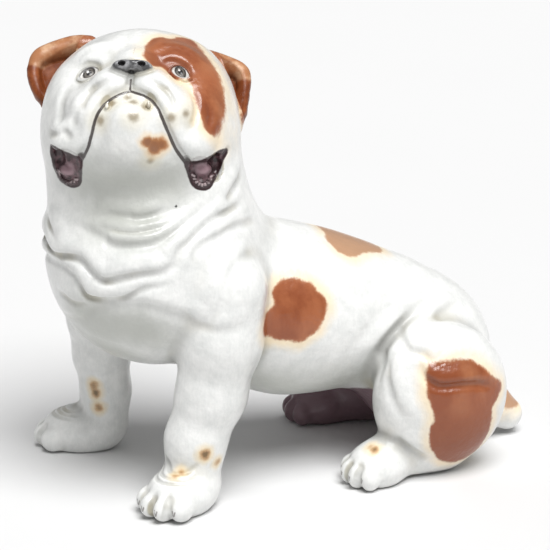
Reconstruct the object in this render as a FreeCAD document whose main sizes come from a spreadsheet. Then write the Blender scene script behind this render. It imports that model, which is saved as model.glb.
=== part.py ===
import FreeCAD, Part
import os

# Seated bulldog figurine in slip-cast, glazed earthenware, in millimetres.
#
# The dog sits facing -Y with its rump and four feet on z = 0.  Its own left is +X.
# The figure is nine castings that are joined with slip before firing: the hollow body
# with the neck, the hollow head, two ears, two forelegs, two hind legs and the tail.
# Every face that meets a neighbour is cut by that neighbour, so the castings touch
# without overlapping.

doc = FreeCAD.newDocument("dog_figurine")
dims = doc.addObject("Spreadsheet::Sheet", "dims")
row = 0


def dim(alias, value, note=""):
    """Write one driving dimension to the sheet."""
    global row
    row += 1
    dims.set("A%d" % row, alias)
    dims.set("B%d" % row, repr(float(value)))
    dims.set("C%d" % row, note)
    dims.setAlias("B%d" % row, alias)


# ---------------------------------------------------------------- general dimensions
dim("wall", 5.0, "thickness of the hollow castings")
dim("datum_x", -0.68, "shift that centres the figure across")
dim("datum_y", -1.82, "shift that centres the figure lengthwise")
dim("vent_radius", 5.5, "hole under the belly that lets the kiln gases out")
dim("vent_y", 62.0, "vent position lengthwise")
dim("pierce_radius", 4.0, "holes through the body wall behind the haunches")
dim("seam_z", 134.0, "height of the neck seam on the neck axis")
dim("seam_y", -68.0, "neck axis at the seam")
dim("seam_lean", 4.0, "lean of the neck seam, degrees")
dim("head_x", -1.0, "centre of the head")
dim("head_y", -68.5)
dim("head_z", 166.5)
dim("head_yaw", 67.0, "the head looks over the left shoulder, degrees from -Y")
dim("head_tilt", 43.0, "90 minus the upward pitch of the face, degrees")
dim("head_wall", 6.0, "thickness of the head casting, thicker for its relief")

# ------------------------------------------------------------- rounded masses
# name: centre x, y, z, then the radii along the same axes
WORLD_MASSES = {
    "chest": (0, -62, 96, 47, 46, 46),
    "rump": (0, 62, 35, 36, 32, 40),
    "shoulder_left": (34.5, -46, 85, 16, 21, 24),
    "shoulder_right": (-34, -66, 84, 16, 20, 23),
    "haunch_left": (38, 54, 36, 19, 33, 33),
    "haunch_right": (-36, 54, 34, 19, 33, 31),
    "shank_left": (35, 42, 9, 11.5, 32, 11),
    "shank_right": (-34, 42, 9, 11.5, 32, 11),
}

# masses of the head, in its own frame: x to its left, y to its crown, z to its nose
HEAD_MASSES = {
    "skull": (0, 8, -5, 42, 35, 34),
    "jowl_left": (20, -8, 4, 22, 26, 24),
    "jowl_right": (-20, -8, 4, 22, 26, 24),
    "chin": (0, -22, 8, 26, 24, 25),
    "muzzle_left": (10.5, -5, 24, 12.5, 11, 12),
    "muzzle_right": (-10.5, -5, 24, 12.5, 11, 12),
    "nose": (0, 3, 31, 8.5, 5, 5.5),
}
HEAD_HOLLOWS = ("skull", "jowl_left", "jowl_right", "chin")
EARS = {
    "ear_left": (38, 15, -9),
    "ear_right": (-43, 20, -9),
}
POCKETS = {
    "pocket_left": (28, -32, 20),
    "pocket_right": (-28, -32, 20),
}
dim("ear_width", 10.5, "half the reach of an ear across the head")
dim("ear_height", 19.0, "half the height of an ear")
dim("ear_depth", 9.0, "half the depth of an ear")
dim("ear_bowl", 3.0, "thickness of the ear flap")
dim("pocket_width", 6.5, "half the width of an open mouth corner")
dim("pocket_height", 9.0, "half its height")
dim("pocket_depth", 4.5, "half its depth")

# paws: centre x, y, z, half width, half length, half height, toe-out in degrees
PAWS = {
    "forepaw_left": (43, -66, 8, 14.5, 18, 12, 32),
    "forepaw_right": (-43, -91, 8, 14, 18, 12, -22),
    "hindpaw_left": (40, 20, 8, 14, 17, 11.5, 10),
    "hindpaw_right": (-38, 20, 8, 14, 17, 11.5, -10),
}
dim("toe_radius", 4.6, "four toes on each paw")
dim("toe_height", 5.4, "height of the toe centres")

# ------------------------------------------------------------- lofted members
# each section: centre x, y, z, then the radius across and the other radius
LOFTS = {
    "trunk": [
        (0, -44, 80, 40, 38),
        (0, -14, 70.5, 36.5, 34.5),
        (0, 16, 63.5, 33.5, 32.5),
        (0, 42, 51, 34, 33.5),
        (0, 68, 40, 30, 29),
    ],
    "neck": [
        (0, -61, 88, 44, 42),
        (-0.5, -63, 104, 45, 43),
        (-1, -66, 120, 44, 42.5),
        (-1.5, -68, 136, 42.5, 42),
        (-1.5, -68, 150, 36, 35.5),
        (-1, -67, 160, 24, 23.5),
    ],
    "foreleg_left": [
        (33.5, -43, 96, 12, 11),
        (37, -46, 74, 16.5, 15.5),
        (36.5, -51, 50, 14.5, 14),
        (36, -56, 28, 12.2, 12),
        (37, -58, 10, 12.5, 12.4),
        (37.5, -58, -4, 12.5, 12.4),
    ],
    "foreleg_right": [
        (-33, -64, 95, 11, 10),
        (-37, -71, 72, 15.5, 14.5),
        (-37.5, -77, 48, 13, 12.8),
        (-37, -78, 28, 11.4, 11.2),
        (-37, -79, 10, 12, 11.8),
        (-37.5, -79, -4, 12, 11.8),
    ],
    "tail": [
        (0, 84, 24, 12.5, 12.4),
        (0, 93, 19, 11.5, 11),
        (1, 101, 13, 10, 9.5),
        (1.5, 108, 9.5, 8.2, 7.8),
        (2, 114, 7.5, 5, 4.8),
    ],
}
# turn of the section planes: 90 stands them across the body, 0 lays them flat
LOFT_TURN = {"trunk": 90, "neck": 6, "foreleg_left": 0, "foreleg_right": 0, "tail": 60}

for name, values in list(WORLD_MASSES.items()) + list(HEAD_MASSES.items()):
    for suffix, value in zip(("x", "y", "z", "rx", "ry", "rz"), values):
        dim("%s_%s" % (name, suffix), value)
for name, values in list(EARS.items()) + list(POCKETS.items()):
    for suffix, value in zip(("x", "y", "z"), values):
        dim("%s_%s" % (name, suffix), value)
for name, values in PAWS.items():
    for suffix, value in zip(("x", "y", "z", "rx", "ry", "rz", "yaw"), values):
        dim("%s_%s" % (name, suffix), value)
for name, sections in LOFTS.items():
    for letter, values in zip("abcdefgh", sections):
        for suffix, value in zip(("x", "y", "z", "ra", "rb"), values):
            dim("%s_%s_%s" % (name, letter, suffix), value)
doc.recompute()


# ---------------------------------------------------------------- building helpers
def bind(obj, **expressions):
    """Tie properties to sheet cells; double underscores stand for dots."""
    for prop, expression in expressions.items():
        obj.setExpression(prop.replace("__", "."), expression)


def at(obj, name, datum=True):
    """Place an object at name_x, name_y, name_z of the sheet."""
    shift_x = " + dims.datum_x" if datum else ""
    shift_y = " + dims.datum_y" if datum else ""
    bind(
        obj,
        Placement__Base__x="dims.%s_x%s" % (name, shift_x),
        Placement__Base__y="dims.%s_y%s" % (name, shift_y),
        Placement__Base__z="dims.%s_z" % name,
    )


def turned(obj, yaw=0.0, tilt=0.0):
    """Turn an object about X and then about Z, in degrees."""
    about_z = FreeCAD.Rotation(FreeCAD.Vector(0, 0, 1), yaw)
    about_x = FreeCAD.Rotation(FreeCAD.Vector(1, 0, 0), tilt)
    obj.Placement = FreeCAD.Placement(obj.Placement.Base, about_z.multiply(about_x))


def ball(label, name, inset="0", datum=True, radii=("rx", "ry", "rz"), prefix=None):
    """An ellipsoid with its radii reduced by inset."""
    obj = doc.addObject("Part::Ellipsoid", label)
    prefix = prefix or name
    bind(
        obj,
        Radius2="dims.%s_%s - %s" % (prefix, radii[0], inset),
        Radius3="dims.%s_%s - %s" % (prefix, radii[1], inset),
        Radius1="dims.%s_%s - %s" % (prefix, radii[2], inset),
    )
    obj.Angle1 = -90
    obj.Angle2 = 90
    obj.Angle3 = 360
    if name.endswith("_right"):
        turned(obj, yaw=180)
    at(obj, name, datum)
    return obj


def loft(label, name, inset="0"):
    """A solid through the ellipse sections of LOFTS, reduced by inset."""
    sections = []
    for letter in "abcdefgh"[: len(LOFTS[name])]:
        ring = doc.addObject("Part::Ellipse", "%s_ring_%s" % (label, letter))
        cell = "%s_%s" % (name, letter)
        bind(
            ring,
            MajorRadius="dims.%s_ra - %s" % (cell, inset),
            MinorRadius="dims.%s_rb - %s" % (cell, inset),
        )
        turned(ring, tilt=LOFT_TURN[name])
        at(ring, cell)
        sections.append(ring)
    obj = doc.addObject("Part::Loft", label)
    obj.Sections = sections
    obj.Solid = True
    obj.Ruled = False
    return obj


def fuse(label, shapes):
    obj = doc.addObject("Part::MultiFuse", label)
    obj.Shapes = shapes
    obj.Refine = False
    return obj


def cut(label, base, tool):
    obj = doc.addObject("Part::Cut", label)
    obj.Base = base
    obj.Tool = tool
    obj.Refine = False
    return obj


def slab(label, size_x, size_y, size_z, x, y, z, tilt=0.0):
    """A box used as a half space, with its corner at x, y, z."""
    obj = doc.addObject("Part::Box", label)
    obj.Length = size_x
    obj.Width = size_y
    obj.Height = size_z
    turned(obj, tilt=tilt)
    bind(obj, Placement__Base__x=x, Placement__Base__y=y, Placement__Base__z=z)
    return obj


# ---------------------------------------------------------------- half spaces
seam_lean = float(dims.seam_lean)
floor = slab("floor", 400, 400, 60, "-200", "-200", "-60")
inner_floor = slab("inner_floor", 400, 400, 60, "-200", "-200", "-60 + dims.wall")
above_seam = slab(
    "above_seam", 400, 200, 120,
    "-200", "dims.seam_y + dims.datum_y - 100 * cos(dims.seam_lean)",
    "dims.seam_z - 100 * sin(dims.seam_lean)", tilt=seam_lean,
)
below_seam = slab(
    "below_seam", 400, 200, 120,
    "-200", "dims.seam_y + dims.datum_y - 100 * cos(dims.seam_lean) + 120 * sin(dims.seam_lean)",
    "dims.seam_z - 100 * sin(dims.seam_lean) - 120 * cos(dims.seam_lean)", tilt=seam_lean,
)

# ---------------------------------------------------------------- body casting
body_mass = fuse(
    "body_mass",
    [
        ball("chest_mass", "chest"),
        ball("rump_mass", "rump"),
        loft("trunk_mass", "trunk"),
        loft("neck_mass", "neck"),
    ],
)
body_seated = cut("body_seated", body_mass, floor)
body_solid = cut("body_solid", body_seated, above_seam)

body_hollow_mass = fuse(
    "body_hollow_mass",
    [
        ball("chest_hollow", "chest", "dims.wall"),
        ball("rump_hollow", "rump", "dims.wall"),
        loft("trunk_hollow", "trunk", "dims.wall"),
        loft("neck_hollow", "neck", "dims.wall"),
    ],
)
body_hollow = cut("body_hollow", body_hollow_mass, inner_floor)
body_shell = cut("body_shell", body_solid, body_hollow)

vent = doc.addObject("Part::Cylinder", "vent")
bind(
    vent,
    Radius="dims.vent_radius",
    Height="6 * dims.wall",
    Placement__Base__x="dims.datum_x",
    Placement__Base__y="dims.vent_y + dims.datum_y",
    Placement__Base__z="-1",
)
pierce = doc.addObject("Part::Cylinder", "pierce")
pierce.Height = 80
turned(pierce, yaw=90, tilt=90)
bind(
    pierce,
    Radius="dims.pierce_radius",
    Placement__Base__x="dims.datum_x - 40",
    Placement__Base__y="dims.haunch_left_y + dims.datum_y",
    Placement__Base__z="dims.haunch_left_z",
)
body = cut("body_casting", body_shell, fuse("body_holes", [vent, pierce]))

# ---------------------------------------------------------------- head casting
head_local = fuse("head_local", [ball(key + "_mass", key, datum=False) for key in HEAD_MASSES])
hollow_local = fuse(
    "hollow_local",
    [ball(key + "_hollow", key, "dims.head_wall", datum=False) for key in HEAD_HOLLOWS],
)
pocket_local = []
for key in POCKETS:
    pocket_local.append(
        ball(key, key, datum=False, prefix="pocket", radii=("width", "height", "depth"))
    )
pockets = fuse("pockets", pocket_local)
for piece in (head_local, hollow_local, pockets):
    turned(piece, yaw=float(dims.head_yaw), tilt=float(dims.head_tilt))
    at(piece, "head")

head_mass = fuse("head_mass", [head_local, loft("neck_stub", "neck")])
head_solid = cut("head_solid", head_mass, below_seam)
head_hollow = fuse("head_hollow", [hollow_local, loft("neck_stub_hollow", "neck", "dims.wall")])
head_shell = cut("head_shell", head_solid, head_hollow)
head = cut("head_casting", head_shell, pockets)

# ---------------------------------------------------------------- ears
ears = {}
for side, outward in (("left", 1.0), ("right", -1.0)):
    name = "ear_" + side
    flap = ball(name + "_flap", name, datum=False, prefix="ear",
                radii=("width", "height", "depth"))
    bowl = ball(name + "_bowl", name, "dims.ear_bowl", datum=False, prefix="ear",
                radii=("width", "height", "depth"))
    bind(
        bowl,
        Placement__Base__x="dims.%s_x + %g * dims.ear_bowl" % (name, 0.5 * outward),
        Placement__Base__y="dims.%s_y - 1.5 * dims.ear_bowl" % name,
        Placement__Base__z="dims.%s_z + 1.6 * dims.ear_bowl" % name,
    )
    cupped = cut(name + "_cupped", flap, bowl)
    turned(cupped, yaw=float(dims.head_yaw), tilt=float(dims.head_tilt))
    at(cupped, "head")
    ears[name] = cut(name, cupped, head_solid)


# ---------------------------------------------------------------- legs
def paw(name):
    """A paw with four toes, level with the floor."""
    pad = ball(name + "_pad", name)
    yaw = float(getattr(dims, name + "_yaw"))
    turned(pad, yaw=yaw)
    at(pad, name)
    facing = FreeCAD.Rotation(FreeCAD.Vector(0, 0, 1), yaw)
    half_width = float(getattr(dims, name + "_rx"))
    half_length = float(getattr(dims, name + "_ry"))
    pieces = [pad]
    for index, (across, along) in enumerate(((-0.72, 0.6), (-0.26, 0.84), (0.26, 0.84), (0.72, 0.6))):
        offset = facing.multVec(FreeCAD.Vector(across * half_width, -along * half_length, 0))
        toe = doc.addObject("Part::Ellipsoid", "%s_toe_%d" % (name, index + 1))
        bind(
            toe,
            Radius2="dims.toe_radius",
            Radius3="dims.toe_radius * 1.25",
            Radius1="dims.toe_radius * 1.2",
            Placement__Base__x="dims.%s_x + dims.datum_x + %.3f" % (name, offset.x),
            Placement__Base__y="dims.%s_y + dims.datum_y + %.3f" % (name, offset.y),
            Placement__Base__z="dims.toe_height",
        )
        toe.Angle1 = -90
        toe.Angle2 = 90
        toe.Angle3 = 360
        turned(toe, yaw=yaw)
        pieces.append(toe)
    return pieces


legs = {}
for side in ("left", "right"):
    name = "foreleg_" + side
    members = [loft(name + "_column", name), ball("shoulder_%s_mass" % side, "shoulder_" + side)]
    mass = fuse(name + "_mass", members + paw("forepaw_" + side))
    seated = cut(name + "_seated", mass, floor)
    legs[name] = cut(name, seated, body_solid)
for side in ("left", "right"):
    name = "hind_leg_" + side
    members = [ball("haunch_%s_mass" % side, "haunch_" + side)]
    members.append(ball("shank_%s_mass" % side, "shank_" + side))
    mass = fuse(name + "_mass", members + paw("hindpaw_" + side))
    seated = cut(name + "_seated", mass, floor)
    outer = cut(name + "_outer", seated, body_solid)
    hollow = ball("haunch_%s_hollow" % side, "haunch_" + side, "dims.wall * 1.6")
    legs[name] = cut(name, outer, hollow)

# ---------------------------------------------------------------- tail
tail_seated = cut("tail_seated", loft("tail_mass", "tail"), floor)
tail = cut("tail", tail_seated, body_solid)

# ---------------------------------------------------------------- check and export
doc.recompute()
for obj in doc.Objects:
    if "Invalid" in obj.State or "Error" in obj.State:
        raise RuntimeError("object failed: " + obj.Name)
    if hasattr(obj, "Shape"):
        if obj.Shape.isNull() or not obj.Shape.isValid():
            raise RuntimeError("bad shape: " + obj.Name)

LABELS = {
    "body_casting": body,
    "head_casting": head,
    "ear_left": ears["ear_left"],
    "ear_right": ears["ear_right"],
    "foreleg_left": legs["foreleg_left"],
    "foreleg_right": legs["foreleg_right"],
    "hind_leg_left": legs["hind_leg_left"],
    "hind_leg_right": legs["hind_leg_right"],
    "tail": tail,
}
os.makedirs("parts", exist_ok=True)
whole = FreeCAD.BoundBox()
for label, obj in LABELS.items():
    obj.Label = label
    if len(obj.Shape.Solids) != 1:
        raise RuntimeError("%s has %d solids" % (label, len(obj.Shape.Solids)))
    obj.Shape.exportStep("parts/%s.step" % label)
    whole.add(obj.Shape.optimalBoundingBox())
    print("%-16s volume %9.0f mm3" % (label, obj.Shape.Volume))
print("size  %.1f x %.1f x %.1f mm" % (whole.XLength, whole.YLength, whole.ZLength))
print("centre %.2f %.2f  bottom %.2f" % (whole.Center.x, whole.Center.y, whole.ZMin))
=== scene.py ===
"""Looks of the seated bulldog figurine: modelled forms, painted markings and glaze.

The figure is modelled as one field of clay, built up from rounded masses, with ridges and
grooves pressed along the folds of skin.  The skin of that field is meshed, refined over the
head and feet, and parted into the nine castings along their luted joints.  All clay
dimensions are millimetres in the CAD part's own frame, before its centring shift.  Many of the
point lists for folds, lips, spots and patches began as points picked by eye on the photograph,
which a scratch script turned into these units.
"""

import math

import bpy
import numpy as np
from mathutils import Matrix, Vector


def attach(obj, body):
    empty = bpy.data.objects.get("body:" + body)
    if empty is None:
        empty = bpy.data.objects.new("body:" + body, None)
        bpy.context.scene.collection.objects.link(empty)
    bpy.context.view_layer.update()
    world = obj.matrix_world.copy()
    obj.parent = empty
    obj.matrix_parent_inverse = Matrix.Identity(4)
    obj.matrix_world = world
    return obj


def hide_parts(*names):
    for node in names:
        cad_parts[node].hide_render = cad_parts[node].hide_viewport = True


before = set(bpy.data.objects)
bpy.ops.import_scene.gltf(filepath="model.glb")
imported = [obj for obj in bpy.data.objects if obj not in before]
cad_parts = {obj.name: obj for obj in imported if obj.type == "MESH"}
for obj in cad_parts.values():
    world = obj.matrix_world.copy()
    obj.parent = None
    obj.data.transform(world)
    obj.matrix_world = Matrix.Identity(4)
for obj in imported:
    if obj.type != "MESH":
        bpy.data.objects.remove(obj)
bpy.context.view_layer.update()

# ==== CLAY =====================================================================
MM = 0.001
DATUM = np.array([-0.68, -1.82, 0.0])
FAR = 50.0
CAMERA_AZIMUTH, CAMERA_RISE = 72, 17.5


def facing(azimuth, elevation):
    """Rows left, up and forward of something that looks along azimuth (0 is -Y, 90 is +X)."""
    a, e = math.radians(azimuth), math.radians(elevation)
    forward = np.array([math.sin(a) * math.cos(e), -math.cos(a) * math.cos(e), math.sin(e)])
    left = np.array([math.cos(a), math.sin(a), 0.0])
    return np.array([left, np.cross(forward, left), forward])


HEAD_AXES = facing(67, 47)
HEAD_AT = np.array([-1.0, -68.5, 166.5])


def head_point(left, up, forward):
    """A point of the head's own frame in the figure's frame."""
    return HEAD_AT + np.array([left, up, forward], float) @ HEAD_AXES


def smooth_min(a, b, k):
    h = np.maximum(k - np.abs(a - b), 0.0) / k
    return np.minimum(a, b) - h * h * k * 0.25


# how far past its line a press still counts, in widths, and how softly the ground cuts
PRESS_REACH = 2.6
GROUND_BLEND = 0.8
# marching onto the skin: most steps, longest and shortest move, and how near is there
MARCH_STEPS, LONGEST_STEP, SHORTEST_STEP, NEAR_ENOUGH = 160, 4.0, 0.05, 0.02


class Clay:
    """A signed distance field in mm, built by adding, cutting and pressing."""

    def __init__(self, floored=True):
        self.ops = []
        self.floored = floored

    def _add(self, mode, field, low, high, reach, blend):
        self.ops.append((mode, field, np.array(low) - reach, np.array(high) + reach, blend))

    def ball(self, centre, radii, blend=4.0, axes=None, mode="add"):
        """An ellipsoid; axes are three rows, one for each radius."""
        c = np.array(centre, float)
        r = np.array(radii, float)
        rows = np.eye(3) if axes is None else np.array(axes, float)
        half = np.sqrt(((rows.T * r) ** 2).sum(1))

        def field(x, y, z):
            x, y, z = x - c[0], y - c[1], z - c[2]
            near = 0.0
            steep = 0.0
            for row, radius in zip(rows, r):
                q = (row[0] * x + row[1] * y + row[2] * z) / radius
                near = near + q * q
                steep = steep + (q / radius) ** 2
            near = np.sqrt(near)
            return near * (near - 1.0) / np.maximum(np.sqrt(steep), 1e-6)

        self._add(mode, field, c - half, c + half, blend + 6.0, blend)

    def cone(self, start, end, r1, r2, blend=4.0, mode="add"):
        """A round-ended cone from start to end."""
        a, b = np.array(start, float), np.array(end, float)
        ba = b - a
        length2 = ba @ ba
        narrowing = r1 - r2
        flank = length2 - narrowing * narrowing
        inverse = 1.0 / length2

        def field(x, y, z):
            px, py, pz = x - a[0], y - a[1], z - a[2]
            along = px * ba[0] + py * ba[1] + pz * ba[2]
            beyond = along - length2
            across = (
                (px * length2 - ba[0] * along) ** 2
                + (py * length2 - ba[1] * along) ** 2
                + (pz * length2 - ba[2] * along) ** 2
            )
            side = np.sign(narrowing) * narrowing * narrowing * across
            distance = (np.sqrt(across * flank * inverse) + along * narrowing) * inverse - r1
            near_start = np.sign(along) * flank * along * along * length2 < side
            distance = np.where(
                near_start, np.sqrt(across + along * along * length2) * inverse - r1, distance
            )
            near_end = np.sign(beyond) * flank * beyond * beyond * length2 > side
            return np.where(
                near_end, np.sqrt(across + beyond * beyond * length2) * inverse - r2, distance
            )

        wide = max(r1, r2)
        self._add(mode, field, np.minimum(a, b) - wide, np.maximum(a, b) + wide, blend + 6.0, blend)

    def chain(self, points, radii, blend=4.0, mode="add"):
        for i in range(len(points) - 1):
            self.cone(points[i], points[i + 1], radii[i], radii[i + 1], blend, mode)

    def press(self, points, width, depth):
        """A soft groove along points; a negative depth raises a ridge instead."""
        p = np.array(points, float)
        n = len(p)
        w = np.broadcast_to(np.array(width, float), (n,))
        d = np.broadcast_to(np.array(depth, float), (n,))

        def field(x, y, z):
            best = None
            for i in range(n - 1):
                ab = p[i + 1] - p[i]
                px, py, pz = x - p[i][0], y - p[i][1], z - p[i][2]
                s = (px * ab[0] + py * ab[1] + pz * ab[2]) / max(ab @ ab, 1e-9)
                s = np.clip(s, 0.0, 1.0)
                gap2 = (px - s * ab[0]) ** 2 + (py - s * ab[1]) ** 2 + (pz - s * ab[2]) ** 2
                q = gap2 / (w[i] + s * (w[i + 1] - w[i])) ** 2
                amount = d[i] + s * (d[i + 1] - d[i])
                if best is None:
                    best, strength = q, amount
                else:
                    strength = np.where(q < best, amount, strength)
                    best = np.minimum(q, best)
            return strength * np.exp(-best)

        self._add("press", field, p.min(0), p.max(0), PRESS_REACH * w.max(), 0.0)

    def _apply(self, op, total, x, y, z):
        mode, field, _, _, blend = op
        value = field(x, y, z)
        if mode == "add":
            return smooth_min(total, value, blend)
        if mode == "cut":
            return -smooth_min(-total, value, blend)
        return total + value

    def _floor(self, total, z):
        if not self.floored:
            return total
        return -smooth_min(-total, z + 0.0 * total, GROUND_BLEND)

    def grid(self, low, high, step):
        """The field on a regular grid, and the grid's three axes."""
        low, high = np.array(low, float), np.array(high, float)
        count = np.ceil((high - low) / step).astype(int) + 1
        axes = [(low[i] + step * np.arange(count[i])).astype(np.float32) for i in range(3)]
        total = np.full(count, FAR, np.float32)
        for op in self.ops:
            first = np.clip(np.floor((op[2] - low) / step).astype(int), 0, count)
            last = np.clip(np.ceil((op[3] - low) / step).astype(int) + 1, 0, count)
            if (last <= first).any():
                continue
            part = tuple(slice(first[i], last[i]) for i in range(3))
            x = axes[0][part[0]][:, None, None]
            y = axes[1][part[1]][None, :, None]
            z = axes[2][part[2]][None, None, :]
            total[part] = self._apply(op, total[part], x, y, z)
        return self._floor(total, axes[2][None, None, :]), axes

    def at(self, points):
        """The field at a list of points."""
        points = np.asarray(points, float)
        total = np.full(len(points), FAR)
        for op in self.ops:
            m = ((points > op[2]) & (points < op[3])).all(1)
            if m.any():
                total[m] = self._apply(op, total[m], points[m, 0], points[m, 1], points[m, 2])
        return self._floor(total, points[:, 2])

    def slope(self, points, e=0.15):
        """The field's gradient at a list of points."""
        g = np.zeros_like(points)
        for corner in ((1, -1, -1), (-1, -1, 1), (-1, 1, -1), (1, 1, 1)):
            v = np.array(corner, float)
            g += v * self.at(points + v * e)[:, None]
        return g / (4.0 * e)

    def land(self, starts, direction, reach=90.0):
        """March points along a direction until they meet the skin."""
        p = np.array(starts, float)
        d = np.array(direction, float)
        gone = np.zeros(len(p))
        for _ in range(MARCH_STEPS):
            f = np.minimum(self.at(p), LONGEST_STEP)
            going = (f > NEAR_ENOUGH) & (gone < reach)
            move = np.where(going, np.maximum(0.6 * f, SHORTEST_STEP), 0.0)
            if not move.any():
                break
            p = p + d * move[:, None]
            gone += move
        return p


# ---- masses -------------------------------------------------------------------
def model_torso(clay):
    clay.ball((0, -62, 97), (46.5, 46, 43.5), 8)
    clay.chain(
        [(0, -26, 78), (0, -5, 71), (0, 13, 68), (0, 29, 65), (0, 44, 58), (0, 57, 47)],
        [37.5, 36.5, 33, 29, 29.5, 32], 9,
    )
    clay.ball((0, 63, 38.5), (36, 28, 38.5), 10)
    clay.cone((0, -64, 110), (-1.5, -68, 148), 44.5, 41.5, 12)


# paws: centre x, y, toe-out in degrees, half width, half length, half height
PAWS = {
    "foreleg_left": (43.5, -64.5, 32, 14, 17.5, 11.5),
    "foreleg_right": (-42.5, -88.5, -22, 14, 17.5, 12),
    "hind_leg_left": (40.5, 25.5, 10, 12.5, 13.5, 10.5),
    "hind_leg_right": (-40.5, 25.5, -10, 12.5, 13.5, 10.5),
}
TOES = ((-0.70, 0.62), (-0.26, 0.86), (0.26, 0.86), (0.70, 0.62))


def paw_frame(name):
    x, y, yaw, half_width, half_length, _ = PAWS[name]
    left, up, forward = facing(yaw, 0)
    return np.array([x, y, 0.0]), left, up, forward, half_width, half_length


def model_paw(clay, name):
    at, left, up, forward, half_width, half_length = paw_frame(name)
    rows = [left, up, forward]
    clay.ball(at + up * 7.5, (half_width, PAWS[name][5], half_length), 5, axes=rows)
    for across, along in TOES:
        toe = at + up * 5.6 + left * across * half_width + forward * along * half_length
        clay.ball(toe, (0.31 * half_width, 5.4, 0.34 * half_length), 1.8, axes=rows)


def model_legs(clay):
    clay.chain(
        [(36, -43, 94), (37, -45, 72), (36.3, -49, 48), (36, -56, 28), (37, -58, 12)],
        [18.5, 17, 14.3, 12.4, 12], 6,
    )
    clay.chain(
        [(-36, -68, 92), (-38, -77.5, 64), (-37.5, -79, 45), (-37, -77.5, 28), (-37, -79, 12)],
        [18.5, 15.8, 11.9, 10.4, 11.5], 6,
    )
    for side, height in ((1, 33), (-1, 31)):
        clay.ball((37 * side, 56, height + 3), (19, 31, height), 7)
        clay.cone((32 * side, 58, 10), (38 * side, 30, 9), 11, 9.5, 7)
    for name in PAWS:
        model_paw(clay, name)
    clay.chain([(0, 84, 22), (1, 94, 15), (2, 103.5, 9)], [11.5, 9.8, 7.6], 5)


# ears, in the head's left and up: the fold along the top, the free edge, and the root
EARS = {
    "ear_right": {
        "fold": [(-27, 37), (-34, 36.5), (-41, 34), (-46, 31.5), (-48.5, 29)],
        "edge": [(-48.5, 29), (-49.8, 24), (-48.5, 18), (-46, 12.5), (-43, 9)],
        "root": [(-30, 32), (-33, 27), (-36, 21), (-38, 15), (-39.5, 9)],
        "depth": -10,
    },
    "ear_left": {
        "fold": [(20, 31.5), (27, 30), (33, 28), (38, 26), (41, 24)],
        "edge": [(41, 24), (42.3, 20), (42.3, 13), (42, 6), (40.5, 2)],
        "root": [(25, 25), (29, 21), (32, 15), (34, 9), (37, 3)],
        "depth": -10,
    },
}


def model_ear(clay, ear):
    """A thin flap that hangs from a thick rolled fold, with a slightly raised free edge."""
    depth = ear["depth"]

    def place(points, forward):
        return [head_point(left, up, forward) for left, up in points]

    for a, b in zip(place(ear["root"], depth - 6), place(ear["edge"], depth - 1.5)):
        clay.cone(a, b, 4.6, 2.6, 3)
    for a, b in zip(place(ear["root"], depth - 6), place(ear["fold"], depth - 2.5)):
        clay.cone(a, b, 4.6, 3.0, 3)
    fold_line = smooth_line(place(ear["fold"], depth + 1.5), 2)
    clay.chain(fold_line, np.linspace(4.8, 3.6, len(fold_line)), 1.6)
    edge_line = smooth_line(place(ear["edge"], depth + 1.2), 2)
    clay.chain(edge_line, np.linspace(2.8, 2.1, len(edge_line)), 1.6)


def model_head(clay):
    def mass(left, up, forward, radii, blend=6.0, mode="add"):
        clay.ball(head_point(left, up, forward), radii, blend, axes=HEAD_AXES, mode=mode)

    mass(0, 10, -6, (35.5, 27.5, 31), 8)
    mass(0, 4, 22, (9, 9, 9), 5)
    mass(0, -22, 16, (17, 13, 17), 6)
    mass(0, -29, 2, (27, 18, 22), 8)
    for side in (1, -1):
        mass(15 * side, 18.5, -10, (18.5, 16, 20), 8)
        mass(25.5 * side, -4, -2, (15.5, 24, 24), 8)
        mass(15 * side, 11, 15, (11, 8, 9), 6)
        mass(8.5 * side, -7, 23, (9.5, 8.5, 10), 5)
        mass(17 * side, -16, 20, (9.5, 10, 9), 5)
        mass(25 * side, -26, 12, (9.5, 9, 9), 5)
    mass(0.3, -1.2, 31, (7.8, 2.9, 5.0), 2)
    for ear in EARS.values():
        model_ear(clay, ear)


def model_masses():
    clay = Clay()
    model_torso(clay)
    model_legs(clay)
    model_head(clay)
    clay.press([(21, -102, 137), (43, -64, 139)], 15, 8.5)
    return clay


# ---- lines on the skin --------------------------------------------------------
def smooth_line(points, parts=3):
    """A Catmull-Rom curve through points."""
    p = np.array(points, float)
    p = np.concatenate([[2 * p[0] - p[1]], p, [2 * p[-1] - p[-2]]])
    made = []
    for i in range(1, len(p) - 2):
        for j in range(parts):
            t = j / parts
            made.append(0.5 * (
                2 * p[i] + (p[i + 1] - p[i - 1]) * t
                + (2 * p[i - 1] - 5 * p[i] + 4 * p[i + 1] - p[i + 2]) * t ** 2
                + (3 * p[i] - p[i - 1] - 3 * p[i + 1] + p[i + 2]) * t ** 3
            ))
    return np.array(made + [p[-2]])


NECK_AXIS_Y = -64.0
NECK_START = 80.0
FACE_START = 45.0
FACE_REACH = 60.0


def neck_line(clay, points):
    """Skin points from pairs of degrees round the neck (0 is the front) and height."""
    p = np.array(points, float)
    a = np.radians(p[:, 0])
    out = np.stack([np.sin(a), -np.cos(a), 0 * a], 1)
    axis = np.stack([0 * a, 0 * a + NECK_AXIS_Y, p[:, 1]], 1)
    return clay.land(axis + NECK_START * out, -out)


def face_line(clay, points, lift=9.0):
    """Skin points from the head's left and up, or from left, up and about how far forward."""
    p = np.array(points, float)
    flat = p.shape[1] == 2
    forward = np.full(len(p), FACE_START) if flat else p[:, 2] + lift
    starts = HEAD_AT + np.column_stack([p[:, :2], forward]) @ HEAD_AXES
    reach = FACE_REACH if flat else 2.2 * lift
    return clay.land(starts, -HEAD_AXES[2], reach)


def body_line(clay, points):
    return settle(clay, np.array(points, float), 12)


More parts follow.
